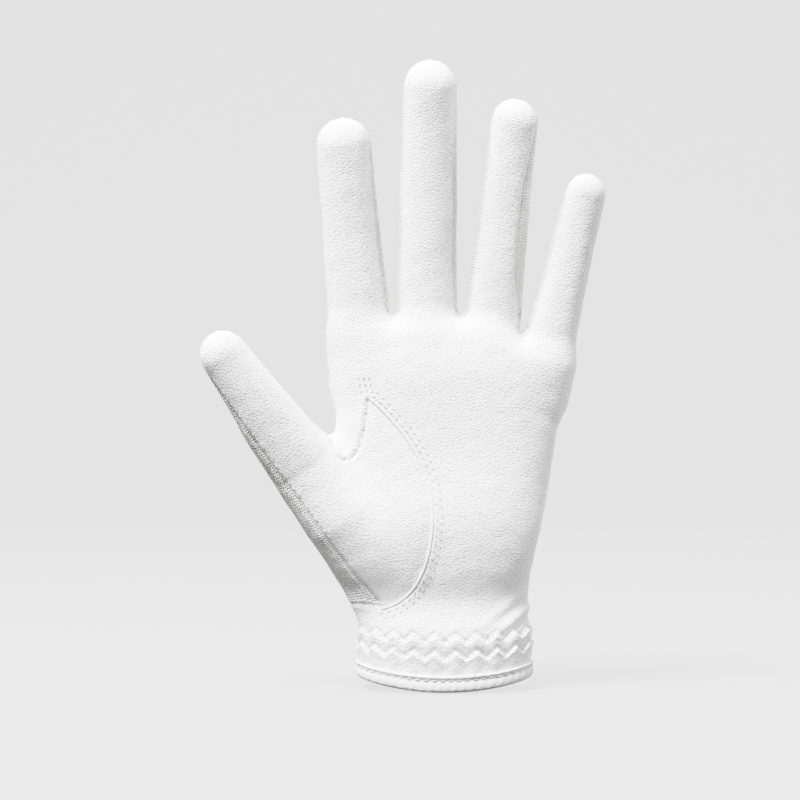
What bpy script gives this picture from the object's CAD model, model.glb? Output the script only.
"""Looks of the golf glove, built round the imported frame.

The glove is worked out in millimetres in the frame's axes: +X to the little finger, -Y the palm side, +Z up.
One smooth surface is made for the whole glove, cut along its seam lines into panels, and each panel rides or
bends with its CAD bodies. Threads, bindings and the closure are separate pieces on that surface.
"""
import math

import bpy
import numpy as np
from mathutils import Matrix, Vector
from mathutils.bvhtree import BVHTree
from mathutils.kdtree import KDTree


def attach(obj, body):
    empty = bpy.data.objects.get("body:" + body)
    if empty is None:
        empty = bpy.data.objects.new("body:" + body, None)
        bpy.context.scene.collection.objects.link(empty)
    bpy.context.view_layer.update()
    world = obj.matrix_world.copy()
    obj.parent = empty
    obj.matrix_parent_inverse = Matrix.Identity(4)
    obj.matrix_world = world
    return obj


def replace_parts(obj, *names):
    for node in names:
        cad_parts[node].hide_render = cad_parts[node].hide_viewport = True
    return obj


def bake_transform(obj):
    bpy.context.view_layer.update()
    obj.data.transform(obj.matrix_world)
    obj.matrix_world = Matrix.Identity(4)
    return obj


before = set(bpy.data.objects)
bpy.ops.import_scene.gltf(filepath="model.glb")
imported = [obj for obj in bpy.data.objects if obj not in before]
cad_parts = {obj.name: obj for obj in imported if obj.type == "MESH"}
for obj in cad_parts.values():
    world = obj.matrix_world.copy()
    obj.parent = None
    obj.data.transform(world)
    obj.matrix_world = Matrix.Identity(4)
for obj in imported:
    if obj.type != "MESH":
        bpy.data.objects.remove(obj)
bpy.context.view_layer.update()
MM = 0.001

# ---------------------------------------------------------------- sizes, in mm, as the CAD model has them
WALL = 0.75
PALM_L = 133.5
CUFF_HALF = (30.5, 18.5)
MIDDLE_BEND = 0.46        # share of a digit's length where its middle bend is
WEB_Y = -1.0
STRIP_HALF = 4.25         # half height of a knit side strip

DIGITS = {
    "index": dict(place=(-30.4, WEB_Y, 132.6), tilt=-5, lean=7, wide=(10.9, 10.1, 9.6), length=68.4,
                  deep=0.88, start=-24),
    "middle": dict(place=(-6.2, WEB_Y, 133.5), tilt=0.7, lean=7, wide=(10.6, 10.1, 9.3), length=87,
                   deep=0.88, start=-24),
    "ring": dict(place=(17.3, WEB_Y, 133), tilt=6, lean=7, wide=(9.9, 9.0, 8.0), length=74.5, deep=0.88,
                 start=-22),
    "little": dict(place=(37.9, WEB_Y, 125.6), tilt=13.2, lean=7, wide=(9.2, 7.9, 7.0), length=57,
                   deep=0.88, start=-22),
    "thumb": dict(place=(-50.4, -9, 79.1), tilt=-35.5, lean=15.5, wide=(12.0, 10.8, 8.0), length=56,
                  deep=0.9, start=-46),
}
FINGERS = ("index", "middle", "ring", "little")
CURL = {n: 0.0009 if n in FINGERS else 0.0 for n in DIGITS}


def axes_of(d):
    """Unit vectors of a digit's own frame: across, towards the back, and along to the tip."""
    t, l = math.radians(d["tilt"]), math.radians(d["lean"])
    across = np.array([math.cos(t), 0, -math.sin(t)])
    back = np.array([math.sin(l) * math.sin(t), math.cos(l), math.sin(l) * math.cos(t)])
    along = np.array([math.cos(l) * math.sin(t), -math.sin(l), math.cos(l) * math.cos(t)])
    return across, back, along


def sway(name, s):
    """How far a filled thumb leans in towards the fingers along its length."""
    t = np.clip((s - 6) / 34, 0, 1)
    return 0.6 * t * t * (3 - 2 * t) if name == "thumb" else 0.0


def local(name, p):
    """Coordinates of points in a digit's own frame."""
    d = DIGITS[name]
    q = [c - o for c, o in zip(p, d["place"])]
    x, y, s = [sum(a[k] * q[k] for k in range(3)) for a in axes_of(d)]
    return [x - sway(name, s), y, s]


def out_of(name, x, y, s):
    """Points in the row frame from a digit's own coordinates."""
    d = DIGITS[name]
    a, b, c = axes_of(d)
    x = x + sway(name, s)
    return np.array(d["place"]) + np.multiply.outer(x, a) + np.multiply.outer(y, b) + np.multiply.outer(s,
        c)


def smooth_table(points, soften):
    """A lookup that passes close to its points and has no corners."""
    z = np.arange(-30.0, 181.0, 1.0)
    v = np.interp(z, [p[0] for p in points], [p[1] for p in points])
    k = np.exp(-0.5 * (np.arange(-24, 25) / soften) ** 2)
    v = np.convolve(np.pad(v, 24, mode="edge"), k / k.sum(), mode="valid")
    return lambda q: np.interp(q, z, v)


EDGE_RIGHT = smooth_table([(-30, 30.5), (20, 30.3), (34, 29.2), (60, 34.9), (87, 39.2), (101, 41.2),
                           (112, 42.6), (122, 43.4), (140, 43.6)], 4)
EDGE_LEFT = smooth_table([(-30, -30.5), (20, -30.2), (38, -33.5), (62, -37), (86, -38.8), (94, -38.4),
                          (102, -37.2), (109, -35.8), (118, -34.5), (133, -34)], 3.5)
HALF_T = smooth_table([(-30, 18.5), (0, 18.5), (18, 17.9), (40, 16.5), (66, 15.5), (92, 14.7), (114, 12.9),
                       (133, 10.5)], 4)
ROUND = smooth_table([(0, 2.2), (90, 2.5), (133, 3.2)], 5)
WIDTH = {}
for digit_name, digit in DIGITS.items():
    tip = digit["length"] - digit["wide"][2]
    WIDTH[digit_name] = smooth_table([(0, digit["wide"][0]), (digit["length"] * 0.35, digit["wide"][1]),
                                      (tip, digit["wide"][2])], 5)


def blended_min(a, b, k):
    h = np.clip(0.5 + 0.5 * (b - a) / k, 0, 1)
    return b + (a - b) * h - k * h * (1 - h)


def digit_field(name, p):
    """Rough distance from a digit's surface, negative inside."""
    d = DIGITS[name]
    x, y, s = local(name, p)
    sc = np.clip(s, d["start"], d["length"] - d["wide"][2])
    w = WIDTH[name](sc)
    root = np.clip(-sc / 22, 0, 1)
    deep = d["deep"] + (0.25 if name == "thumb" else 0.0) * root
    if name == "thumb":
        w = w + 1.1 * root
    y = y + CURL[name] * np.maximum(sc, 0) ** 2
    n = 2.25
    q = (np.abs(x) ** n + np.abs(y / deep) ** n) ** (1 / n)
    return np.sqrt(q * q + (s - sc) ** 2) - w


def palm_top(x):
    """Height where the palm ends under the finger forks."""
    return np.interp(x, [-45, -20, 5, 18, 27, 36, 48], [127.5, 128.5, 128.8, 127, 121.5, 119, 117])


def palm_field(p):
    x, y, z = p
    zc = np.clip(z, -20, 136)
    l, r, b, n = EDGE_LEFT(zc), EDGE_RIGHT(zc), HALF_T(zc), ROUND(zc)
    u = np.abs((x - (l + r) / 2) / ((r - l) / 2)) ** n + np.abs((y - WEB_Y * zc / PALM_L) / b) ** n
    f = (u ** (1 / n) - 1) * b
    return -blended_min(-f, -(z - palm_top(x)), 7.0)


def hand_field(p):
    """The glove's smooth outer surface is where this is zero."""
    f = digit_field("index", p)
    for name in ("middle", "ring", "little"):
        f = blended_min(f, digit_field(name, p), 2.6)
    f = blended_min(f, palm_field(p), 7.0)
    return blended_min(f, digit_field("thumb", p), 7.0)


# ---------------------------------------------------------------- one surface for the whole glove
def surface_net():
    """Vertices and triangles of the zero surface on a grid that is finer at the cuff."""
    gx = np.arange(-93.0, 63.0, 0.8)
    gy = np.arange(-41.0, 24.0, 0.8)
    gz = np.concatenate([np.arange(-3.0, 30.0, 0.5), np.arange(30.0, 225.0, 0.95)])
    x, y, z = [g.astype(np.float32) for g in (gx, gy, gz)]
    vals = np.empty((len(gx), len(gy), len(gz)), np.float32)
    step = 40
    for i in range(0, len(gx), step):
        block = np.broadcast_arrays(x[i:i + step, None, None], y[None, :, None], z[None, None, :])
        vals[i:i + step] = hand_field(block)
    inside = vals < 0
    corners = [(i, j, k) for i in (0, 1) for j in (0, 1) for k in (0, 1)]
    shape = [n - 1 for n in vals.shape]

    def part(a, c):
        return a[c[0]:c[0] + shape[0], c[1]:c[1] + shape[1], c[2]:c[2] + shape[2]]

    count = sum(part(inside, c).astype(np.int8) for c in corners)
    cells = np.argwhere((count > 0) & (count < 8))
    number = np.full(shape, -1, np.int32)
    number[tuple(cells.T)] = np.arange(len(cells))
    total, hits = np.zeros((len(cells), 3)), np.zeros(len(cells))
    grids = (gx, gy, gz)
    for a in corners:
        for axis in range(3):
            if a[axis]:
                continue
            b = list(a)
            b[axis] = 1
            ia, ib = cells + a, cells + b
            va, vb = vals[tuple(ia.T)], vals[tuple(ib.T)]
            cross = (va < 0) != (vb < 0)
            t = np.where(cross, va / np.where(cross, va - vb, 1), 0)
            pa = np.stack([g[ia[:, k]] for k, g in enumerate(grids)], 1)
            pb = np.stack([g[ib[:, k]] for k, g in enumerate(grids)], 1)
            total += np.where(cross[:, None], pa + (pb - pa) * t[:, None], 0)
            hits += cross
    verts = total / hits[:, None]
    quads = []
    for axis in range(3):
        b = [0, 0, 0]
        b[axis] = 1
        lo = [slice(None, -1) if k == axis else slice(1, -1) for k in range(3)]
        hi = [slice(1, None) if k == axis else slice(1, -1) for k in range(3)]
        ia, ib = inside[tuple(lo)], inside[tuple(hi)]
        for flip in (False, True):
            e = np.argwhere((ia & ~ib) if flip else (~ia & ib))
            for k in range(3):
                if k != axis:
                    e[:, k] += 1
            u, v = [(1, 2), (2, 0), (0, 1)][axis]
            ring = []
            for du, dv in ((0, 0), (-1, 0), (-1, -1), (0, -1)):
                c = e.copy()
                c[:, u] += du
                c[:, v] += dv
                ring.append(number[tuple(c.T)])
            q = np.stack(ring, 1)
            quads.append(q[:, ::-1] if not flip else q)
    quads = np.concatenate(quads)
    quads = quads[(quads >= 0).all(1)]
    d1 = np.linalg.norm(verts[quads[:, 0]] - verts[quads[:, 2]], axis=1)
    d2 = np.linalg.norm(verts[quads[:, 1]] - verts[quads[:, 3]], axis=1)
    short = (d1 < d2)[:, None]
    t1 = np.where(short, quads[:, [0, 1, 2]], quads[:, [0, 1, 3]])
    t2 = np.where(short, quads[:, [0, 2, 3]], quads[:, [1, 2, 3]])
    return verts, np.concatenate([t1, t2])


def gradient(field, v, e=0.05):
    out = np.empty_like(v)
    for k in range(3):
        d = np.zeros(3)
        d[k] = e
        out[:, k] = (field((v + d).T) - field((v - d).T)) / (2 * e)
    return out


def onto_surface(v, rounds=2):
    for _ in range(rounds):
        g = gradient(hand_field, v)
        v = v - g * (hand_field(v.T) / np.maximum((g * g).sum(1), 1e-6))[:, None]
    return v


verts, tris = surface_net()
verts = onto_surface(verts)
locked = np.zeros(len(verts), bool)
edges = np.unique(np.sort(np.concatenate([tris[:, [0, 1]], tris[:, [1, 2]], tris[:, [2, 0]]]), axis=1),
                  axis=0)


# ---------------------------------------------------------------- seam lines
def bezier(p, n):
    t = np.linspace(0, 1, n + 1)[:, None]
    a, b, c, d = [np.array(q, float) for q in p]
    return a * (1 - t) ** 3 + 3 * b * t * (1 - t) ** 2 + 3 * c * t * t * (1 - t) + d * t ** 3


TONGUE = np.concatenate([bezier([(-38.6, 84.6), (-37.4, 81), (-35.5, 79.5), (-32.2, 82)], 8),
                         bezier([(-32.2, 82), (-28.5, 86.5), (-28, 94), (-27, 102.4)], 10)[1:]])
PALM_SEAM = np.concatenate([bezier([(-27, 102.4), (-14, 91), (-5, 78), (-4.7, 62)], 14),
                            bezier([(-4.7, 62), (-4.5, 46), (-10, 31), (-22.8, 28.7)], 14)[1:]])
CROTCH = [(-60, 130), (-42.5, 95), (-40.8, 88)]
THUMB_SIDE = np.concatenate([CROTCH, TONGUE, PALM_SEAM[1:], [(-24, 28.6), (-200, 31), (-200, 130)]])
THUMB_SIDE_BACK = np.array([(-60, 130), (-42.5, 95), (-38.5, 86), (-34, 60), (-28.5, 29), (-200, 31),
                            (-200, 130)], float)


def inside_of(poly, x, z):
    """Signed distance in the front view to a closed outline, positive inside it."""
    out = np.full(x.shape, np.inf)
    odd = np.zeros(x.shape, bool)
    for (ax, az), (bx, bz) in zip(poly, np.roll(poly, -1, 0)):
        dx, dz = bx - ax, bz - az
        t = np.clip(((x - ax) * dx + (z - az) * dz) / (dx * dx + dz * dz + 1e-12), 0, 1)
        out = np.minimum(out, np.hypot(x - ax - t * dx, z - az - t * dz))
        if az != bz:
            odd ^= ((az > z) != (bz > z)) & (x < dx * (z - az) / dz + ax)
    return np.where(odd, out, -out)


def snap(level, near=None):
    """Moves the nearest points onto the line where level is zero, and says which triangles lie above it."""
    val = level(verts.T)
    use = np.where(near(verts.T), val, np.nan) if near else val
    a, b = edges.T
    with np.errstate(invalid="ignore"):
        cross = use[a] * use[b] < 0
    a, b = a[cross], b[cross]
    t = val[a] / (val[a] - val[b])
    mover, other, share = np.where(t < 0.5, a, b), np.where(t < 0.5, b, a), np.where(t < 0.5, t, 1 - t)
    swap = locked[mover] & ~locked[other]
    mover, other, share = np.where(swap, other, mover), np.where(swap, mover, other), np.where(swap,
        1 - share, share)
    ok = ~locked[mover]
    mover, other, share = mover[ok], other[ok], share[ok]
    order = np.argsort(-share)
    mover, other, share = mover[order], other[order], share[order]
    target = verts[mover] + (verts[other] - verts[mover]) * share[:, None]
    verts[mover] = target
    moved = np.unique(mover)
    v = verts[moved]
    for _ in range(2):
        v = onto_surface(v, 1)
        n, g = gradient(hand_field, v), gradient(level, v)
        n /= np.linalg.norm(n, axis=1)[:, None]
        g -= n * (n * g).sum(1)[:, None]
        g2 = (g * g).sum(1)
        step = np.where(g2 > 0.05, level(v.T) / np.maximum(g2, 0.05), 0)
        v = v - g * np.clip(step, -0.5, 0.5)[:, None]
    verts[moved] = v
    locked[moved] = True
    val[moved] = 0
    return np.nan_to_num(val[tris]).sum(1) > 0


def rise_to(s, a, b):
    t = np.clip((s - a) / (b - a), 0, 1)
    return t * t * (3 - 2 * t)


# Half heights of the knit side strips, to the palm side and to the back, at the right and the left of a finger
STRIPS = {"index": ((4.25, 4.25), None), "middle": ((4.9, 4.25), (3.4, 4.25)),
          "ring": ((6.6, 3.6), (3.4, 4.25)), "little": (None, (3.4, 4.25))}


def strip_height(name, x, s, palmar):
    out = np.zeros_like(x)
    length = DIGITS[name]["length"]
    close = 1 - np.clip(s / (length - 1.5), 0, 1) ** 5
    for side, strip in ((x > 0, STRIPS[name][0]), (x <= 0, STRIPS[name][1])):
        if strip:
            h = STRIP_HALF + (strip[0 if palmar else 1] - STRIP_HALF) * rise_to(s, 0, 14)
            out = np.where(side, h * close, out)
    return out


def centred(name, p):
    x, y, s = local(name, p)
    return x, y + CURL[name] * np.maximum(s, 0) ** 2, s


def split_y(z):
    """Where the palm leather ends round the little finger's edge of the hand."""
    return WEB_Y * z / PALM_L + 4.4 * (1 - rise_to(z, 96, 124))


def thumb_line(s):
    """Across the thumb, where the leather front is sewn to the knit back."""
    return np.interp(s, [-60, -30, 0, 25, 60], [-6.9, -7.2, -7.7, -8.2, -8.2])


above = snap(lambda p: p[2] - 0.7)
owner_fields = lambda p: np.stack([digit_field(n, p) for n in DIGITS])
pair_side = {}
for one, two in (("index", "middle"), ("middle", "ring"), ("ring", "little")):
    pair_side[one] = snap(lambda p: digit_field(one, p) - digit_field(two, p),
                          lambda p: (p[2] > 118) & (np.abs(digit_field(one, p)) < 4)
                          & (np.abs(digit_field(two, p)) < 4))
centre = verts[tris].mean(1).T
fields = owner_fields(centre)
thumb_owns = (fields[4] < fields[:4].min(0)) & (fields[4] < palm_field(centre))
finger_no = fields[:4].argmin(0)
for k, (one, two) in enumerate((("index", "middle"), ("middle", "ring"), ("ring", "little"))):
    near_fork = (fields[k] < 4) & (fields[k + 1] < 4) & (centre[2] > 118)
    finger_no = np.where(near_fork, np.where(pair_side[one], k + 1, k), finger_no)
owner = np.where(thumb_owns, 4, finger_no)
NAMES = list(DIGITS)
vowner_of = lambda p: np.argmin(np.concatenate([owner_fields(p)[:4],
                                                np.where(digit_field("thumb", p) < palm_field(p),
                                                         digit_field("thumb", p), 99)[None]]), 0)

base_side, pip_side, front_side, back_side = {}, {}, {}, {}
for k, name in enumerate(NAMES):
    pip = DIGITS[name]["length"] * MIDDLE_BEND - 9
    mine = lambda p, low=-4.0: (digit_field(name, p) < 2.5) & (local(name,
        p)[2] > low) & (vowner_of(p) == k)
    base_side[name] = snap(lambda p: local(name, p)[2], mine)
    pip_side[name] = snap(lambda p: local(name, p)[2] - pip, mine)
    if name == "thumb":
        left_of = snap(lambda p: thumb_line(local(name, p)[2]) - local(name, p)[0],
                       lambda p: mine(p, -0.5) & (local(name, p)[1] < 1.5))
        behind = snap(lambda p: local(name, p)[1] - 1.5,
                      lambda p: mine(p, -0.5) & (local(name, p)[0] > thumb_line(local(name, p)[2])))
        back_side[name] = left_of | behind
        front_side[name] = ~back_side[name]
    else:
        def palmar(p):
            x, y, s = centred(name, p)
            return -(y + strip_height(name, x, s, True))

        def dorsal(p):
            x, y, s = centred(name, p)
            return y - strip_height(name, x, s, False)
        front_side[name] = snap(palmar, lambda p: mine(p, -0.5))
        back_side[name] = snap(dorsal, lambda p: mine(p, -0.5))

not_digit = lambda p: np.all([local(n, p)[2] < 0.7 for n in NAMES[:4]],
                             0) & ((local("thumb", p)[2] < 0.7) | (digit_field("thumb", p) > palm_field(p)))
thumb_front_in = snap(lambda p: inside_of(THUMB_SIDE, p[0], p[2]),
                      lambda p: (p[1] < 1.5) & (p[0] < 0) & not_digit(p))
thumb_back_in = snap(lambda p: inside_of(THUMB_SIDE_BACK, p[0], p[2]),
                     lambda p: (p[1] > 0) & (p[0] < -20) & not_digit(p))


def thumb_edge(p):
    x, y, s = local("thumb", p)
    return x - thumb_line(s)


seam_right = snap(thumb_edge,
                  lambda p: (p[1] < -1) & (p[0] < -20) & (p[2] > 27) & (local("thumb", p)[2] < 0.7)
                  & (inside_of(THUMB_SIDE, p[0], p[2]) > -0.1))
thumb_fore = snap(lambda p: 1.5 - local("thumb", p)[1],
                  lambda p: (local("thumb", p)[0] > 0) & (local("thumb", p)[2] < 0.7)
                  & (inside_of(THUMB_SIDE, p[0], p[2]) > -0.1) & (p[2] > 78)
                  & (digit_field("thumb", p) < palm_field(p) + 1))
root_fore = snap(lambda p: np.where(p[0] > 0, split_y(p[2]), WEB_Y * p[2] / PALM_L) - p[1],
                 lambda p: not_digit(p) & ((p[0] > 25)
                                           | ((p[0] < -22) & ((p[2] < 32)
                                                              | ((p[2] > 84) & (inside_of(THUMB_SIDE, p[0],
                                                                  p[2]) < 0.1))))))
VENT_X, VENT_W, VENT_H = -2.0, 9.0, 60.0
INSERT = (95.0, 111.0)


def vent_edge(p):
    """Positive inside the slot that lets the cuff open."""
    return 0.3 + VENT_W / 2 * np.maximum(0, 1 - p[2] / VENT_H) - np.abs(p[0] - VENT_X)


on_back = lambda p: (p[1] > 3) & not_digit(p) & (inside_of(THUMB_SIDE_BACK, p[0], p[2]) < 0)
in_vent = snap(vent_edge, lambda p: on_back(p) & (p[2] < VENT_H))
seam_back = snap(lambda p: p[0] - VENT_X, lambda p: on_back(p) & (p[2] >= VENT_H) & (p[2] < INSERT[0] + 1))
over_low = snap(lambda p: p[2] - INSERT[0], on_back)
over_high = snap(lambda p: p[2] - INSERT[1], on_back)
web_front = snap(lambda p: p[1] - WEB_Y + 4.25,
                 lambda p: not_digit(p) & (p[2] > 119) & (p[0] > -26) & (p[0] < 33) & (p[1] > -6))
web_back = snap(lambda p: p[1] - WEB_Y - 4.25,
                lambda p: not_digit(p) & (p[2] > 119) & (p[0] > -26) & (p[0] < 33) & (p[1] < 5))

# ---------------------------------------------------------------- which piece each triangle belongs to
PIECES = []     # name, family, body or (bodies), slot, CAD nodes
centre = verts[tris].mean(1).T
label = np.full(len(tris), -1)


def piece(name, family, slot, nodes, digit=None, upper=False):
    PIECES.append(dict(name=name, family=family, slot=slot, nodes=nodes, digit=digit, upper=upper))
    return len(PIECES) - 1


root_label = {}
for name, family, slot, nodes in (
        ("palm_panel", "palm", "leather", ["palm_panel"]),
        ("thumb_front_base", "thumb_front", "leather", ["thumb_front_base"]),
        ("thumb_back_base", "thumb_back", "knit", ["thumb_back_base"]),
        ("web_gussets", "web", "knit", ["web_gussets"]),
        ("back_inner_panel", "back_in", "leather", ["back_inner_panel"]),
        ("back_outer_panel", "back_out", "leather", ["back_outer_panel"]),
        ("knuckle_insert", "insert", "knit", ["knuckle_insert"]),
        ("back_top_panel", "back_top", "leather", ["back_top_panel"])):
    root_label[name] = piece(name, family, slot, nodes)
on_digit = np.zeros(len(tris), bool)
for k, name in enumerate(NAMES):
    member = (owner == k) & base_side[name] & (fields[k] < 4)
    on_digit |= member
    for upper in (False, True):
        level = "upper" if upper else "lower"
        mine = member & (pip_side[name] == upper)
        front, back = mine & front_side[name], mine & back_side[name]
        leather_back = name != "thumb"
        label[front] = piece(f"{name}_front_{level}", "palm" if name in FINGERS else "thumb_front",
                             "leather", [f"{name}_front_{level}"], name, upper)
        label[back] = piece(f"{name}_back_{level}", "back_top" if name in FINGERS else "thumb_back",
                            "leather" if leather_back else "knit", [f"{name}_back_{level}"], name, upper)
        rest = mine & ~front & ~back
        if name in FINGERS:
            for side, strip in (("right", STRIPS[name][0]), ("left", STRIPS[name][1])):
                if strip:
                    pick = rest & ((local(name, centre)[0] > 0) == (side == "right"))
                    label[pick] = piece(f"{name}_{side}_gusset_{level}", "web", "knit",
                                        [f"{name}_{side}_gusset_{level}"], name, upper)
                    rest &= ~pick
        label[rest] = PIECES.index(next(q for q in PIECES if q["name"] == f"{name}_back_{level}"))

root = ~on_digit
web = root & (centre[2] > 122) & (centre[0] > -26) & (centre[0] < 33) & web_front & ~web_back
near_thumb = inside_of(THUMB_SIDE, centre[0], centre[2]) > 0
fore = np.where((centre[0] > 25) | (centre[0] < -22), root_fore, centre[1] < 0)
fore = np.where(near_thumb & (centre[2] > 29) & (centre[0] < -22),
                (centre[1] < 1.5) & ((local("thumb", centre)[0] < 0) | (centre[2] < 78) | thumb_fore), fore)
side_front = thumb_front_in & fore
leather = side_front & seam_right
label[root & fore & ~side_front] = root_label["palm_panel"]
label[root & leather] = root_label["thumb_front_base"]
label[root & side_front & ~seam_right] = root_label["thumb_back_base"]
back = root & ~fore
label[back & thumb_back_in] = root_label["thumb_back_base"]
rest = back & ~thumb_back_in
label[rest & over_high] = root_label["back_top_panel"]
label[rest & over_low & ~over_high] = root_label["knuckle_insert"]
label[rest & ~over_low & seam_back] = root_label["back_outer_panel"]
label[rest & ~over_low & ~seam_back] = root_label["back_inner_panel"]
label[web] = root_label["web_gussets"]
keep = above & ~(root & in_vent & (centre[1] > 3) & (centre[2] < VENT_H))
whole = tris
tris, label, centre = tris[keep], label[keep], centre[:, keep]

# ---------------------------------------------------------------- relief of the surface
families = np.array([q["family"] for q in PIECES])
family = np.unique(families, return_inverse=True)[1][label]
pairs = np.concatenate([tris[:, [0, 1]], tris[:, [1, 2]], tris[:, [2, 0]]])
owner_tri = np.tile(np.arange(len(tris)), 3)
key = np.sort(pairs, axis=1)
order = np.lexsort((key[:, 1], key[:, 0]))
key, tri_of = key[order], owner_tri[order]
twin = (key[1:] == key[:-1]).all(1)
seam_edges = key[1:][twin & (family[tri_of[1:]] != family[tri_of[:-1]])]
seam_tris = np.stack([tri_of[1:], tri_of[:-1]], 1)[twin & (family[tri_of[1:]] != family[tri_of[:-1]])]

normals = gradient(hand_field, verts)
normals /= np.linalg.norm(normals, axis=1)[:, None]
px, py, pz = verts.T


def tree_of(points):
    tree = KDTree(len(points))
    for n, q in enumerate(points):
        tree.insert(q, n)
    tree.balance()
    return tree


seam_points = verts[np.unique(seam_edges)]
seam_tree = tree_of(np.concatenate([seam_points, verts[seam_edges].mean(1)]))
seam_d = np.array([seam_tree.find(v)[2] for v in verts])
relief = -0.42 * np.exp(-(seam_d / 0.75) ** 2) + 0.09 * np.exp(-((seam_d - 1.8) / 0.8) ** 2)


def waves(p, size, count, seed):
    """Soft irregular unevenness: waves of about one size in random directions."""
    r = np.random.default_rng(seed)
    out = np.zeros(len(p))
    for _ in range(count):
        d = r.normal(size=3)
        d *= 2 * math.pi / size / np.linalg.norm(d) * r.uniform(0.7, 1.4)
        out += np.sin(p @ d + r.uniform(0, 2 * math.pi))
    return out / math.sqrt(count)


# The filled palm: full at the ball of the thumb and under the fingers, and drawn in above the cuff
middle_x = (px - (EDGE_LEFT(pz) + EDGE_RIGHT(pz)) / 2) / 38
front_on = rise_to(-py, 2, 9) * np.exp(-np.abs(middle_x) ** 3)
relief += front_on * (2.2 * np.exp(-((pz - 58) / 15) ** 2) - 2.6 * np.exp(-((pz - 30.5) / 8.5) ** 2) + 0.8
                      * np.exp(-((pz - 112) / 10) ** 2) - 0.7
                      * np.exp(-((pz - 88) / 13) ** 2 - ((px - 2) / 20) ** 2))
relief += rise_to(-py, 2, 9) * 1.2 * np.exp(-((px + 22) / 11) ** 2 - ((pz - 55) / 15) ** 2)
relief += 0.13 * waves(verts, 17, 9, 3) + 0.05 * waves(verts, 6, 9, 5)
tension = np.exp(-np.abs(seam_d - 1.6) / 1.4) * (pz > 26)
relief += 0.07 * tension * waves(verts, 3.2, 7, 11)

# How far round the wrist each point lies, in mm to the right of the middle of the palm side
turn = np.linspace(-math.pi / 2, 3 * math.pi / 2, 721)


def section(z, a):
    z = np.broadcast_to(np.asarray(z, float), np.shape(a))
    l, r, b, n = EDGE_LEFT(z), EDGE_RIGHT(z), HALF_T(z), ROUND(z)
    c, q = np.cos(a), np.sin(a)
    bulge = lambda v: np.sign(v) * np.abs(v) ** (2 / n)
    return np.stack([(l + r) / 2 + (r - l) / 2 * bulge(c), WEB_Y * z / PALM_L - b * bulge(q), z], -1)


ring = section(13.0, turn)
arc = np.concatenate([[0], np.cumsum(np.linalg.norm(np.diff(ring, axis=0), axis=1))])
arc = arc[::-1] - arc[::-1][np.argmin(np.abs(turn - math.pi / 2))]
zc = np.clip(pz, 0, 40)
nn = ROUND(zc)
c = (px - (EDGE_LEFT(zc) + EDGE_RIGHT(zc)) / 2) / ((EDGE_RIGHT(zc) - EDGE_LEFT(zc)) / 2)
q = -(py - WEB_Y * zc / PALM_L) / HALF_T(zc)
angle = np.arctan2(np.sign(q) * np.abs(q) ** (nn / 2), np.sign(c) * np.abs(c) ** (nn / 2))
angle = np.where(angle < -math.pi / 2, angle + 2 * math.pi, angle)
around = np.interp(angle, turn, arc)

SHIR_ROWS = (12.9, 18.6)
SHIR_PITCH = 7.3
SHIR_PEAK = 1.55
SHIR_START = 3.6          # a peak lies here, to the right of the middle
SHIR_END = 47.0           # how far round to each side the shirring runs


def zigzag(u):
    ph = ((u - SHIR_START) / SHIR_PITCH) % 1
    return SHIR_PEAK * (4 * np.abs(ph - 0.5) - 1)


reach = rise_to(SHIR_END + 3 - np.abs(around), 0, 6)
slope = math.cos(math.atan(4 * SHIR_PEAK / SHIR_PITCH))
phase = 2 * math.pi * (around + 0.35 * waves(verts, 14, 5, 21) - SHIR_START) / SHIR_PITCH
tooth = np.cos(phase)
puff = rise_to(pz, 5.0, 8.5) * (1 - rise_to(pz, 20.5, 24))
lean_in = np.where(pz > SHIR_ROWS[1], 0.4, 1.0)
relief += reach * puff * lean_in * (0.34 * tooth - 0.12 * np.abs(np.sin(phase / 2 + 0.3)) + 0.06
                                    * waves(verts, 6.0, 7, 9))
for row in SHIR_ROWS:
    d = (pz - row - zigzag(around)) * slope
    relief += reach * 1.15 * rise_to(-d, -0.2, 0.8) * np.exp(np.minimum(d, 0) / 3.2)
    relief -= reach * 0.6 * np.exp(-((d - 0.35) / 0.62) ** 2)
# Pleats at the ends of the shirring, soft folds above it at the little finger's side,
# and a full edge at the left
side_pleat = np.exp(-((np.abs(around) - 44) / 5) ** 2) * rise_to(pz, 6,
    10) * (1 - rise_to(pz, 26, 34)) * (py < 12)
relief += side_pleat * 0.22 * np.sin(2 * math.pi * (around + 0.25 * pz) / 2.7)
for fx, fz, length, width, lift_by in ((25.5, 24.6, 8.5, 1.7, 0.8), (22.0, 29.0, 8.5, 2.0, 0.5)):
    a = math.radians(33)
    du, dv = px - fx, pz - fz
    lu, lv = du * math.cos(a) + dv * math.sin(a), -du * math.sin(a) + dv * math.cos(a)
    relief += (py < 4) * lift_by * np.exp(-(lu / length) ** 2) * (np.exp(-(lv / width) ** 2) - 0.7
        * np.exp(-((lv + 1.9 * width) / width) ** 2))
relief += (py < 8) * 1.0 * np.exp(-((px + 31.5) / 4.5) ** 2 - ((pz - 28.5) / 4.0) ** 2)
relief *= np.clip((pz - 0.5) / 5.0, 0, 1) ** 0.5
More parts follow.
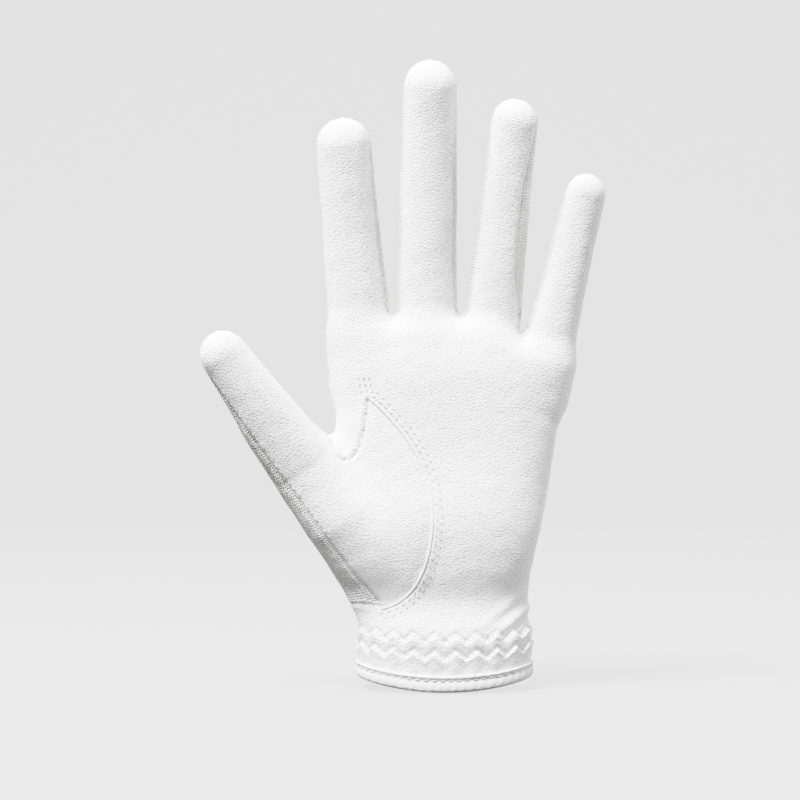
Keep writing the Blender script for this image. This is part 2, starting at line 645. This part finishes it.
# The palm leather lies over the thumb piece along their seam, and the thumb piece dips beside it
lap = inside_of(THUMB_SIDE, px, pz)
on_lap = (py < 0) & (pz > 30) & (pz < 104) & (px > -39.5) & (seam_d < 6)
on_tongue = on_lap & (inside_of(THUMB_SIDE, px, pz) < 12) & ((px < -26.5) | (pz > 101.5)) & (pz > 77)
relief += on_tongue * np.where(lap < 0, 0.42 * np.exp(-(lap / 1.2) ** 2), -0.25 * np.exp(-(lap / 1.0) ** 2))
relief += on_lap * ~on_tongue * np.where(lap > 0, -0.3 * np.exp(-((lap - 1.6) / 1.1) ** 2),
                                         0.10 * np.exp(-((lap + 2.3) / 0.7) ** 2))
# Raised ribs of the elastic knit over the knuckles
in_insert = (py > 5) & (pz > INSERT[0]) & (pz < INSERT[1])
relief += in_insert * 0.4 * np.cos(2 * math.pi * px
                                   / 2.6) * np.clip(np.minimum(pz - INSERT[0], INSERT[1] - pz) / 1.5, 0, 1)


def hem_rise(x, z):
    return 4.0 * (x / CUFF_HALF[0]) ** 2 * np.maximum(0, 1 - z / 40)


outer = verts + normals * relief[:, None]
inner = outer - normals * WALL
smooth_skin = verts.copy()
for part_points in (outer, inner, smooth_skin):
    part_points[:, 2] += hem_rise(part_points[:, 0], part_points[:, 2])
face_n = np.cross(outer[tris[:, 1]] - outer[tris[:, 0]], outer[tris[:, 2]] - outer[tris[:, 0]])
soft_n = np.zeros_like(outer)
for k in range(3):
    np.add.at(soft_n, tris[:, k], face_n)
soft_n /= np.maximum(np.linalg.norm(soft_n, axis=1), 1e-9)[:, None]

# Cloth coordinates, in mm: u round the hand or the digit, v along it
cloth = np.stack([px, pz], 1)
near_digit = vowner_of(verts.T)
for k, name in enumerate(NAMES):
    x, y, station = centred(name, verts.T)
    use = (near_digit == k) & (station > 0) & (digit_field(name, verts.T) < 12)
    if name == "thumb":
        knit_tris = np.isin(label,
                            [piece_no for piece_no, q in enumerate(PIECES)
                             if q["name"].startswith("thumb_back")])
        use[np.unique(tris[knit_tris])] = True
    w = WIDTH[name](np.clip(station, 0, 90))
    cloth[use] = np.stack([np.arctan2(y, x) * w, station], 1)[use]


# ---------------------------------------------------------------- finishes
def material(name, colour, rough):
    m = bpy.data.materials.new(name)
    m.use_nodes = True
    m.diffuse_color = (*colour, 1)
    tree = m.node_tree
    shader = tree.nodes["Principled BSDF"]
    shader.inputs["Base Color"].default_value = (*colour, 1)
    shader.inputs["Roughness"].default_value = rough
    shader.inputs["Specular IOR Level"].default_value = 0.35
    return m, tree, shader


def add(tree, kind, **values):
    n = tree.nodes.new(kind)
    for k, v in values.items():
        if k in n.inputs:
            n.inputs[k].default_value = v
        else:
            setattr(n, k, v)
    return n


def maths(tree, operation, a, b=None):
    n = tree.nodes.new("ShaderNodeMath")
    n.operation = operation
    for k, v in enumerate((a, b)):
        if isinstance(v, (int, float)):
            n.inputs[k].default_value = v
        elif v is not None:
            tree.links.new(v, n.inputs[k])
    return n.outputs[0]


def coordinates(tree, attribute, scale):
    a = add(tree, "ShaderNodeAttribute", attribute_name=attribute)
    m = add(tree, "ShaderNodeMapping")
    m.inputs["Scale"].default_value = scale
    tree.links.new(a.outputs["Vector"], m.inputs["Vector"])
    return m.outputs[0]


def finish_with(tree, shader, height, depth, strength=1.0, tint=None):
    """Bump from a height, and the colour a little darker where it is low."""
    bump = add(tree, "ShaderNodeBump", Strength=strength, Distance=depth * MM)
    tree.links.new(height, bump.inputs["Height"])
    tree.links.new(bump.outputs[0], shader.inputs["Normal"])
    if tint:
        ramp = add(tree, "ShaderNodeMix", data_type="RGBA")
        ramp.inputs["A"].default_value = (*tint[0], 1)
        ramp.inputs["B"].default_value = (*tint[1], 1)
        tree.links.new(height, ramp.inputs["Factor"])
        tree.links.new(ramp.outputs["Result"], shader.inputs["Base Color"])


def leather_finish():
    m, tree, shader = material("leather", (0.86, 0.86, 0.855), 0.5)
    where = coordinates(tree, "rest", (1, 1, 1.3))
    drift = add(tree, "ShaderNodeTexNoise", Scale=0.5, Detail=2.0)
    tree.links.new(where, drift.inputs["Vector"])
    shifted = tree.nodes.new("ShaderNodeVectorMath")
    shifted.operation = "ADD"
    tree.links.new(where, shifted.inputs[0])
    tree.links.new(drift.outputs["Color"], shifted.inputs[1])
    grain = add(tree, "ShaderNodeTexVoronoi", feature="SMOOTH_F1", Scale=1.25, Smoothness=0.5)
    tree.links.new(shifted.outputs[0], grain.inputs["Vector"])
    fine = add(tree, "ShaderNodeTexNoise", Scale=2.3, Detail=3.0, Roughness=0.55)
    tree.links.new(where, fine.inputs["Vector"])
    height = maths(tree, "ADD",
                   maths(tree, "MULTIPLY", maths(tree, "SUBTRACT", 1.0, grain.outputs["Distance"]), 0.62),
                   maths(tree, "MULTIPLY", fine.outputs[0], 0.55))
    finish_with(tree, shader, height, 0.42, 1.0, ((0.60, 0.60, 0.60), (0.93, 0.93, 0.925)))
    return m


def knit_finish(name="knit", across=1.15, along=1.0, depth=0.5):
    m, tree, shader = material(name, (0.78, 0.78, 0.76), 0.85)
    where = coordinates(tree, "cloth", (1, 1, 1))
    parts = add(tree, "ShaderNodeSeparateXYZ")
    tree.links.new(where, parts.inputs[0])
    u, v = parts.outputs[0], parts.outputs[1]
    chevron = maths(tree, "PINGPONG", maths(tree, "DIVIDE", u, across), 0.5)
    ribs = maths(tree, "SINE",
                 maths(tree, "MULTIPLY", maths(tree, "ADD", maths(tree, "DIVIDE", v, along), chevron),
                       2 * math.pi))
    wales = maths(tree, "SINE", maths(tree, "MULTIPLY", maths(tree, "DIVIDE", u, across), 2 * math.pi))
    height = maths(tree, "ADD", maths(tree, "MULTIPLY", ribs, 0.3), maths(tree, "MULTIPLY", wales, 0.16))
    height = maths(tree, "ADD", height, 0.5)
    finish_with(tree, shader, height, depth, 0.9, ((0.50, 0.50, 0.49), (0.86, 0.86, 0.84)))
    return m


def thread_finish():
    m, tree, shader = material("thread", (0.6, 0.6, 0.59), 0.6)
    where = coordinates(tree, "rest", (1, 1, 1))
    twist = add(tree, "ShaderNodeTexWave", Scale=2.2, Distortion=1.5, bands_direction="DIAGONAL")
    tree.links.new(where, twist.inputs["Vector"])
    finish_with(tree, shader, twist.outputs["Fac"], 0.12, 0.8, ((0.42, 0.42, 0.41), (0.7, 0.7, 0.69)))
    return m


def fuzz_finish(name, colour, scale, depth):
    m, tree, shader = material(name, colour, 0.9)
    where = coordinates(tree, "rest", (1, 1, 1))
    fuzz = add(tree, "ShaderNodeTexVoronoi", feature="F1", Scale=scale)
    tree.links.new(where, fuzz.inputs["Vector"])
    low = tuple(0.72 * c for c in colour)
    finish_with(tree, shader, maths(tree, "SUBTRACT", 1.0, fuzz.outputs["Distance"]), depth, 0.9,
                (low, colour))
    return m


FINISH = {"leather": leather_finish(), "knit": knit_finish(), "thread": thread_finish(),
          "binding": fuzz_finish("binding", (0.88, 0.88, 0.875), 1.6, 0.12),
          "elastic": knit_finish("elastic", 1.6, 1.4, 0.6),
          "hook": fuzz_finish("hook", (0.8, 0.8, 0.79), 1.3, 0.6),
          "loop": fuzz_finish("loop", (0.84, 0.84, 0.83), 2.4, 0.5)}


# ---------------------------------------------------------------- building pieces
def mesh_object(name, points, faces, slot, loop_normals=None, rest=None, uv=None):
    """A piece from points in mm and a list of faces."""
    mesh = bpy.data.meshes.new(name)
    mesh.from_pydata((np.asarray(points) * MM).tolist(), [], [tuple(map(int, f)) for f in faces])
    mesh.update()
    for layer_name, value in (("rest", points if rest is None else rest), ("cloth", uv)):
        if value is not None:
            value = np.asarray(value, float)
            if value.shape[1] == 2:
                value = np.concatenate([value, np.zeros((len(value), 1))], 1)
            mesh.attributes.new(layer_name, "FLOAT_VECTOR", "POINT").data.foreach_set("vector",
                value.astype(np.float32).ravel())
    mesh.materials.append(FINISH[slot])
    mesh.polygons.foreach_set("use_smooth", np.ones(len(mesh.polygons), bool))
    if loop_normals is not None:
        mesh.normals_split_custom_set(np.asarray(loop_normals).tolist())
    obj = bpy.data.objects.new(name, mesh)
    bpy.context.collection.objects.link(obj)
    return obj


def pip_cut(name):
    return DIGITS[name]["length"] * MIDDLE_BEND - 9


def go_with(obj, digit=None, upper=False):
    """The piece bends with its digit, or rides on the hand."""
    if digit is None:
        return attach(obj, "root")
    if upper:
        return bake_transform(obj)
    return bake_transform(obj)


for k, q in enumerate(PIECES):
    t = tris[label == k]
    used, inv = np.unique(t, return_inverse=True)
    t = inv.reshape(-1, 3)
    n = len(used)
    e = np.concatenate([t[:, [0, 1]], t[:, [1, 2]], t[:, [2, 0]]])
    code = e[:, 0] * n + e[:, 1]
    rim = e[~np.isin(code, e[:, 1] * n + e[:, 0])]
    points = np.concatenate([outer[used], inner[used]])
    rim_faces = np.concatenate([np.stack([rim[:, 1], rim[:, 0], rim[:, 0] + n], 1),
                                np.stack([rim[:, 1], rim[:, 0] + n, rim[:, 1] + n], 1)])
    faces = np.concatenate([t, t[:, ::-1] + n, rim_faces])
    rim_n = np.cross(points[rim_faces[:, 1]] - points[rim_faces[:, 0]],
                     points[rim_faces[:, 2]] - points[rim_faces[:, 0]])
    rim_n /= np.maximum(np.linalg.norm(rim_n, axis=1), 1e-9)[:, None]
    sn = soft_n[used]
    loops = np.concatenate([sn[t].reshape(-1, 3), -sn[t[:, ::-1]].reshape(-1, 3),
                            np.repeat(rim_n, 3, axis=0)])
    obj = mesh_object(q["name"], points, faces, q["slot"], loops,
                      np.concatenate([verts[used], verts[used]]),
                      np.concatenate([cloth[used], cloth[used]]))
    go_with(obj, q["digit"], q["upper"])
    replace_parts(obj, *q["nodes"])



# ---------------------------------------------------------------- threads, bindings and the closure
skin_tree = BVHTree.FromPolygons(outer.tolist(), tris.tolist())
base_tree = BVHTree.FromPolygons(smooth_skin.tolist(), whole.tolist())


def on_skin(p, lift=0.0):
    """The nearest place on the leather, raised by lift, and the leather's own direction there."""
    out, ns = [], []
    for q in np.atleast_2d(p):
        place, n, _, _ = skin_tree.find_nearest(Vector(q))
        out.append(np.array(place) + np.array(n) * lift)
        ns.append(np.array(n))
    return np.array(out), np.array(ns)


def from_front(points):
    """Places on the palm side straight behind points given as x and z."""
    out = []
    for x, z in points:
        hit = skin_tree.ray_cast(Vector((x, -80, z)), Vector((0, 1, 0)))[0]
        out.append(np.array(hit) if hit else np.array([x, 0, z]))
    return np.array(out)


class Strands:
    """Many short tubes kept together as one piece."""

    def __init__(self):
        self.points, self.faces, self.count = [], [], 0

    def tube(self, path, up, radii, sides=6, flat=0.75):
        path, up = np.asarray(path, float), np.asarray(up, float)
        along = np.gradient(path, axis=0)
        along /= np.maximum(np.linalg.norm(along, axis=1), 1e-9)[:, None]
        across = np.cross(along, up)
        across /= np.maximum(np.linalg.norm(across, axis=1), 1e-9)[:, None]
        up = np.cross(across, along)
        m = len(path)
        for k in range(sides):
            a = 2 * math.pi * k / sides
            self.points.append(path + across * (math.cos(a) * radii)[:, None] + up
                               * (math.sin(a) * radii * flat)[:, None])
        grid = np.concatenate(self.points[-sides:]).reshape(sides, m, 3)
        self.points = self.points[:-sides] + [grid.transpose(1, 0, 2).reshape(-1, 3)]
        c = self.count
        for j in range(m - 1):
            for k in range(sides):
                k2 = (k + 1) % sides
                a, b, d, e = c + j * sides + k, c + j * sides + k2, c + (j + 1) * sides + k2, c + (j
                    + 1) * sides + k
                self.faces.append((a, b, d, e))
        self.faces.append(tuple(c + k for k in reversed(range(sides))))
        self.faces.append(tuple(c + (m - 1) * sides + k for k in range(sides)))
        self.count += m * sides

    def stitch(self, p, q, radius=0.27, lift=0.08):
        """One stitch that comes out of the leather at p and goes back in at q."""
        t = np.linspace(0, 1, 5)[:, None]
        path, n = on_skin(p + (q - p) * t)
        rise = np.sin(math.pi * t[:, 0]) ** 0.5 * (lift + radius * 0.6) - 0.12
        self.tube(path + n * rise[:, None], n, radius * np.array([0.7, 1, 1, 1, 0.7]))

    def made(self, name, slot="thread", digit=None, upper=False):
        obj = mesh_object(name, np.concatenate(self.points), self.faces, slot)
        return go_with(obj, digit, upper)


def spaced(line, step):
    """Places a step apart along a line, and its direction at each."""
    line = np.asarray(line, float)
    run = np.concatenate([[0], np.cumsum(np.linalg.norm(np.diff(line, axis=0), axis=1))])
    at = np.arange(step / 2, run[-1], step)
    pick = lambda q: np.stack([np.interp(q, run, line[:, k]) for k in range(line.shape[1])], 1)
    d = pick(np.minimum(at + 0.5, run[-1])) - pick(np.maximum(at - 0.5, 0))
    return pick(at), d / np.linalg.norm(d, axis=1)[:, None]


def beside(line, off):
    d = np.gradient(line, axis=0)
    d /= np.linalg.norm(d, axis=1)[:, None]
    return line + np.stack([-d[:, 1], d[:, 0]], 1) * off


# Shirring: two zigzag rows of stitches
rows = Strands()
angles = np.linspace(-0.6, math.pi + 0.6, 900)
for row in SHIR_ROWS:
    ring = section(row, angles)
    u = np.interp(angles, turn, arc)
    keep_u = np.abs(u) < SHIR_END
    path = ring[keep_u]
    path[:, 2] = row + zigzag(u[keep_u])
    path[:, 2] += hem_rise(path[:, 0], path[:, 2])
    spots, heads = spaced(path, 1.86)
    for p, d in zip(spots, heads):
        rows.stitch(p - d * 0.66, p + d * 0.66, 0.26, 0.05)
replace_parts(rows.made("shirring_thread"), "shirring_thread")

# Hem: a folded strip of leather round the lower edge, with a raised upper edge and a row of stitches
HEM = np.array([(5.75, 0.1), (6.0, 0.55), (5.85, 1.0), (5.4, 1.2), (4.95, 1.0), (4.5, 0.62), (4.0, 0.62),
                (3.4, 0.95), (2.4, 1.12),
                (1.2, 1.08), (0.4, 0.8), (0.03, 0.2), (0.03, -0.9), (0.4, -1.5), (1.4, -1.75),
                (3.4, -1.75), (5.2, -1.6), (5.6, -1.2), (5.7, -0.5)])
ends = (-math.pi / 2 + 0.078, 3 * math.pi / 2 - 0.197)
angles = np.linspace(*ends, 520)
around_hem = np.interp(angles, turn, arc)
out_n = gradient(hand_field, section(4.0, angles))
out_n[:, 2] = 0
out_n /= np.linalg.norm(out_n, axis=1)[:, None]
uneven = 0.09 * np.sin(2 * math.pi * around_hem / 3.1 + 1.3
                       * np.sin(around_hem / 5)) + 0.06 * np.sin(around_hem / 4.1)
hem_points = []
for z, outward in HEM:
    ring = section(z, angles) + out_n * (outward + (uneven if outward > 0 and z > 1 else 0)
                                         * np.ones(len(angles)))[:, None]
    ring[:, 2] += hem_rise(ring[:, 0], ring[:, 2]) + (0.5 * uneven if z > 3 and outward > 0 else 0)
    hem_points.append(ring)
hem_points = np.stack(hem_points, 1)
m, n = hem_points.shape[:2]
grid = np.arange(m * n).reshape(m, n)
nxt = np.roll(grid, -1, axis=1)
hem_faces = [tuple(f) for f in np.stack([grid[:-1], nxt[:-1], nxt[1:], grid[1:]], -1).reshape(-1, 4)]
hem_faces += [tuple(grid[0][::-1]), tuple(grid[-1])]
hem = mesh_object("hem_binding", hem_points.reshape(-1, 3), hem_faces, "binding")
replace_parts(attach(hem, "root"), "hem_binding")
hem_row = Strands()
line = section(4.25, angles) + out_n * 0.72
line[:, 2] += hem_rise(line[:, 0], line[:, 2])
spots, heads = spaced(line, 2.9)
for p, d in zip(spots, heads):
    facing = np.cross(d, (0, 0, 1))
    facing *= np.sign(facing @ (p - np.array([0, 0, p[2]])))
    t = np.linspace(-1, 1, 5)[:, None]
    hem_row.tube(p + d * t * 1.02 + facing * (0.12 - 0.32 * t ** 4), np.tile(facing, (5, 1)),
                 0.24 * np.array([0.7, 1, 1, 1, 0.7]))
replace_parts(hem_row.made("hem_thread"), "hem_thread")

# The seam round the thumb piece: a turned edge with two rows of slanted stitches beside it, and tacks at its top
edge_line = beside(PALM_SEAM, 0.35)
spots, _ = spaced(edge_line, 0.8)
path, facing = on_skin(from_front(spots))
piping = Strands()
piping.tube(path + facing * 0.16, facing,
            np.concatenate([[0.12, 0.3], np.full(len(path) - 4, 0.46), [0.3, 0.12]]), sides=8, flat=0.85)
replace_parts(piping.made("thumb_seam_piping", "binding"), "thumb_seam_piping")
seam_row = Strands()
for off, slant in ((1.7, 0.55), (3.5, 0.55)):
    spots, heads = spaced(beside(PALM_SEAM, off), 2.75)
    for p, d in zip(spots, heads):
        side = np.array([-d[1], d[0]])
        stitch_ends = from_front([p - d * 0.75 - side * slant / 2, p + d * 0.75 + side * slant / 2])
        seam_row.stitch(stitch_ends[0], stitch_ends[1], 0.25, 0.05)
spots, heads = spaced(beside(TONGUE[6:], 1.3), 2.75)
for p, d in zip(spots, heads):
    first, second = from_front([p - d * 0.7, p + d * 0.7])
    seam_row.stitch(first, second, 0.16, 0.0)
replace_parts(seam_row.made("thumb_seam_thread"), "thumb_seam_thread")
tacks = Strands()
for row in (0, 1, 2):
    for k in range(3):
        p = np.array([-29.6 + 1.9 * k - 0.5 * row, 104.0 + 2.3 * row])
        first, second = from_front([p, p + [0.5, 1.2]])
        tacks.stitch(first, second, 0.24, 0.08)
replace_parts(tacks.made("bar_tacks"), "bar_tacks")

# The seam up the outer side of the thumb, in three parts that bend with it
back_axis = axes_of(DIGITS["thumb"])[1]


def on_thumb(x, s):
    a = out_of("thumb", np.array([x]), np.array([-30.0]), np.array([s]))[0]
    hit = skin_tree.ray_cast(Vector(a), Vector(back_axis))[0]
    return np.array(hit) if hit else None


thumb_pip = pip_cut("thumb")
for name, low, high, digit, upper in (("outer_thumb_thread", -57, 0.3, None, False),
                                      ("outer_thumb_thread_lower", 0.3, thumb_pip, "thumb", False),
                                      ("outer_thumb_thread_upper", thumb_pip, 47, "thumb", True)):
    run = Strands()
    for station in np.arange(low + 0.6, high - 1.2, 2.5):
        line_x = float(thumb_line(station)) + 0.95
        first, second = on_thumb(line_x, station), on_thumb(line_x, station + 1.5)
        if first is not None and second is not None and inside_of(THUMB_SIDE, first[:1],
            first[2:])[0] > 0.6:
            run.stitch(first, second, 0.22, 0.03)
    obj = run.made(name, "thread", digit, upper)
    if digit is None:
        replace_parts(obj, "outer_thumb_thread")

# The crease of each seam, with its closing thread down in it
groups = {}
for (a, b), (ta, tb) in zip(seam_edges, label[seam_tris]):
    one, two = PIECES[ta], PIECES[tb]
    lower = min((one, two), key=lambda q: (q["digit"] is not None, q["upper"]))
    if "web_gussets" in (one["name"], two["name"]) or {one["family"], two["family"]} & {"insert"}:
        continue
    groups.setdefault((lower["digit"], lower["upper"]), []).append((int(a), int(b)))
for (digit_name, upper), edge_list in sorted(groups.items(), key=str):
    links = {}
    for a, b in edge_list:
        links.setdefault(a, set()).add(b)
        links.setdefault(b, set()).add(a)
    run = Strands()
    starts = sorted(links, key=lambda v: (len(links[v]) == 2, v))
    for start in starts:
        while links[start]:
            chain = [start]
            while links[chain[-1]]:
                step = min(links[chain[-1]])
                links[chain[-1]].discard(step)
                links[step].discard(chain[-1])
                chain.append(step)
                if len(links[step]) != 1:
                    break
            if len(chain) < 6:
                continue
            path, up = outer[chain], soft_n[chain]
            for _ in range(3):
                path[1:-1] = 0.5 * path[1:-1] + 0.25 * (path[2:] + path[:-2])
            run.tube(path + up * 0.02, up, np.full(len(path), 0.15), sides=5, flat=0.9)
    if run.count:
        run.made("seam_crease" if digit_name is None
                 else f"{digit_name}_crease_{'upper' if upper else 'lower'}", "thread", digit_name, upper)

# Rows of fine stitches beside the side strips of the fingers
for name in FINGERS:
    d = DIGITS[name]
    cut = pip_cut(name)
    for upper, low, high in ((False, 1.5, cut), (True, cut, d["length"] - 12)):
        run = Strands()
        for side in (1, -1):
            if not STRIPS[name][0 if side > 0 else 1]:
                continue
            station = np.arange(low, high - 1.0, 2.6)
            for palmar, sign in ((True, -1), (False, 1)):
                pts = []
                for off in (0, 1.5):
                    q = station + off
                    y = sign * (strip_height(name, np.full(len(q), float(side)), q, palmar) + 1.15)
                    w = WIDTH[name](np.clip(q, 0, 90))
                    x = side * w * np.maximum(0.02,
                                              1 - np.minimum(np.abs(y) / (w * d["deep"]),
                                                             0.99) ** 2.25) ** (1 / 2.25)
                    pts.append(out_of(name, x, y - CURL[name] * q ** 2, q))
                for p, q in zip(*pts):
                    run.stitch(p, q, 0.17, 0.02)
        run.made(f"{name}_stitches_{'upper' if upper else 'lower'}", "thread", name, upper)


def on_back_of(x, z, lift):
    """A place on the back of the hand, raised from the leather's smooth shape."""
    hit, facing, _, _ = base_tree.ray_cast(Vector((x, 80, z)), Vector((0, -1, 0)))
    return (np.array(hit) + np.array(facing) * lift) if hit else np.array([x, 18, z])


def slab_faces(rows, cols):
    """Faces of a slab: a grid of points, the same grid under it turned over, and the rim between them."""
    under = rows * cols
    g = np.arange(under).reshape(rows, cols)
    faces = [tuple(f) for f in np.stack([g[:-1, :-1], g[1:, :-1], g[1:, 1:], g[:-1, 1:]], -1).reshape(-1,
        4)]
    turned = np.stack([g[:-1, :-1], g[:-1, 1:], g[1:, 1:], g[1:, :-1]], -1).reshape(-1, 4) + under
    faces += [tuple(f) for f in turned]
    loop = np.concatenate([g[0, :-1], g[:-1, -1], g[-1, :0:-1], g[:0:-1, 0]])
    return faces + [(a, b, b + under, a + under) for a, b in zip(loop, np.roll(loop, -1))]


def pad(name, outline, low, high, slot, soft=0.6, steps=(26, 22)):
    """A slab that follows the back of the hand. outline gives the left and right end of each row."""
    row_count, cols = steps
    v = np.sin(np.linspace(-1, 1, row_count) * math.pi / 2)
    u = np.sin(np.linspace(-1, 1, cols) * math.pi / 2) * 0.5 + 0.5
    top, bottom = [], []
    for t in v:
        x0, x1, z, half = outline(t)
        for w in u:
            x = x0 + (x1 - x0) * w
            inset = min(abs(x - x0), abs(x1 - x), half * (1 - abs(t)))
            rounding = math.sqrt(max(0, 1 - (1 - min(1, inset / soft)) ** 2))
            top.append(on_back_of(x, z, low + (high - low) * (0.45 + 0.55 * rounding)))
            bottom.append(on_back_of(x, z, low + (high - low) * 0.18 * (1 - rounding)))
    faces = slab_faces(row_count, cols)
    return mesh_object(name, np.array(top + bottom), faces, slot, uv=np.array(top + bottom)[:, [0, 2]])


TAB_X, TAB_Z, TAB_L, TAB_H = -13.0, 33.0, 36.0, 25.0


def tab_outline(x0, inset):
    def outline(t):
        half = TAB_H / 2 - inset
        end = TAB_X + TAB_L - inset - 7 * (1 - math.sqrt(1 - t * t * 0.98))
        return x0, end, TAB_Z + t * half, half
    return outline


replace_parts(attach(pad("loop_patch", tab_outline(5.5, 1.2), 0.25, 1.3, "loop"), "root"), "loop_patch")
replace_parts(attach(pad("hook_patch", tab_outline(6.5, 2.0), 1.5, 2.0, "hook"), "closure_flap"),
            "hook_patch")
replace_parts(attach(pad("closure_tab", tab_outline(TAB_X, 0), 2.2, 3.2, "leather", steps=(40, 40)),
                    "closure_flap"), "closure_tab")
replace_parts(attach(pad("tab_anchor",
                        lambda t: (TAB_X - 9, TAB_X - 0.35, TAB_Z + t * TAB_H / 2, TAB_H / 2), 0.2, 3.2,
                        "leather"), "root"), "tab_anchor")


def tab_stitches(strands, outline_points, lift):
    spots, heads = spaced(outline_points, 2.7)
    for p, d in zip(spots, heads):
        t = np.linspace(-1, 1, 5)
        path = np.array([on_back_of(*(p + d * 0.9 * q), lift + 0.12 - 0.3 * q ** 4) for q in t])
        facing = np.array([0, 1, 0])
        strands.tube(path, np.tile(facing, (5, 1)), 0.23 * np.array([0.7, 1, 1, 1, 0.7]))


rounded = np.linspace(-1, 1, 40)
edge_row = np.array([(tab_outline(TAB_X, 1.9)(t)[1], tab_outline(TAB_X, 1.9)(t)[2]) for t in rounded])
edge_row = np.concatenate([[(TAB_X + 1.5, edge_row[0, 1])], edge_row, [(TAB_X + 1.5, edge_row[-1, 1])]])
run = Strands()
tab_stitches(run, edge_row, 3.2)
obj = mesh_object("tab_thread", np.concatenate(run.points), run.faces, "thread")
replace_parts(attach(obj, "closure_flap"), "tab_thread")
run = Strands()
for x in (TAB_X - 7.6, TAB_X - 1.8):
    tab_stitches(run, np.array([(x, TAB_Z - 11), (x, TAB_Z + 11)], float), 3.2)
run.made("tab_anchor_stitches")

# Turned edges of the opening in the back
vent = Strands()
for side in (-1, 1):
    z = np.linspace(6.3, VENT_H - 1.5, 60)
    x = VENT_X + side * (0.75 + VENT_W / 2 * (1 - z / VENT_H))
    path = np.array([on_back_of(a, b, 0.0) for a, b in zip(x, z)])
    vent.tube(path, np.tile([0, 1, 0], (60, 1)), np.full(60, 0.75), sides=10, flat=0.8)
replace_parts(vent.made("vent_binding", "binding"), "vent_binding")

# Elastic inside the shirring
ELASTIC_ARC = (22, 158)         # degrees round the wrist
ELASTIC_Z = (8.8, 22)
ELASTIC_DEPTH = (-1.75, -2.5)   # its outer and inner face, from the leather's outside
ELASTIC_GRID = (28, 90)
elastic_angles = np.radians(np.linspace(*ELASTIC_ARC, ELASTIC_GRID[1]))
elastic_heights = np.linspace(*ELASTIC_Z, ELASTIC_GRID[0])
out_e, in_e = [], []
for z in elastic_heights:
    ring = section(z, elastic_angles)
    facing = gradient(hand_field, ring)
    facing[:, 2] = 0
    facing /= np.linalg.norm(facing, axis=1)[:, None]
    ripple = 0.12 * np.cos(2 * math.pi * z / 1.9)
    for store, outward in ((out_e, ELASTIC_DEPTH[0]), (in_e, ELASTIC_DEPTH[1] - ripple)):
        q = ring + facing * outward
        q[:, 2] += hem_rise(q[:, 0], q[:, 2])
        store.append(q)
both = np.concatenate(out_e + in_e)
elastic = mesh_object("wrist_elastic", both, slab_faces(*ELASTIC_GRID), "elastic", uv=both[:, [0, 2]])
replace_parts(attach(elastic, "root"), "wrist_elastic")

# ---------------------------------------------------------------- studio
def light(name, place, target, size, power, colour=(1, 1, 1)):
    data = bpy.data.lights.new(name, "AREA")
    data.shape = "RECTANGLE"
    data.size, data.size_y = size
    data.energy = power
    data.color = colour
    obj = bpy.data.objects.new(name, data)
    bpy.context.collection.objects.link(obj)
    obj.location = place
    obj.rotation_euler = (Vector(target) - Vector(place)).to_track_quat("-Z", "Y").to_euler()
    return obj


light("key", (-0.42, -0.4, 1.08), (0, 0, 0.12), (0.45, 0.45), 235.0)
light("fill", (0.9, -0.16, 0.9), (0, 0, 0.1), (0.6, 0.6), 30.0)
light("top", (0.0, 0.5, 1.1), (0, 0, 0.1), (0.8, 0.8), 40.0)
world = bpy.data.worlds.new("studio")
world.use_nodes = True
world.node_tree.nodes["Background"].inputs["Color"].default_value = (0.9, 0.9, 0.9, 1)
world.node_tree.nodes["Background"].inputs["Strength"].default_value = 0.25
bpy.context.scene.world = world

WIDE = 283.5            # width of the view at the glove, in mm
AWAY = 800.0
view = bpy.data.cameras.new("camera")
view.sensor_width = 36
view.lens = 36 * AWAY / WIDE
view.clip_start, view.clip_end = 0.01, 20
camera = bpy.data.objects.new("camera", view)
bpy.context.collection.objects.link(camera)
camera.location = (-15.75 * MM, -AWAY * MM, 101.5 * MM)
camera.rotation_euler = (math.pi / 2, 0, 0)
bpy.context.scene.camera = camera

FLOOR_GLOW = 2.7         # gives the pale, even ground of a studio picture
floor_mesh = bpy.data.meshes.new("floor")
profile = [(-1.5, 0.0), (1.2, 0.0)] + [(1.2 + 0.5 * math.sin(a), 0.5 - 0.5 * math.cos(a))
                                       for a in np.linspace(0.1, math.pi / 2, 12)] + [(1.7, 2.2)]
floor_mesh.from_pydata([(x, y, z) for y, z in profile for x in (-2.5, 2.5)], [],
                       [(2 * i, 2 * i + 1, 2 * i + 3, 2 * i + 2) for i in range(len(profile) - 1)])
floor_look, _, floor_shader = material("floor", (0.08, 0.08, 0.08), 0.9)
floor_shader.inputs["Emission Color"].default_value = (1, 1, 1, 1)
floor_shader.inputs["Emission Strength"].default_value = FLOOR_GLOW
floor_mesh.materials.append(floor_look)
floor_mesh.polygons.foreach_set("use_smooth", np.ones(len(floor_mesh.polygons), bool))
floor = bpy.data.objects.new("floor", floor_mesh)
bpy.context.collection.objects.link(floor)
floor.location = (0, 0, -0.0003)
floor.visible_diffuse = False
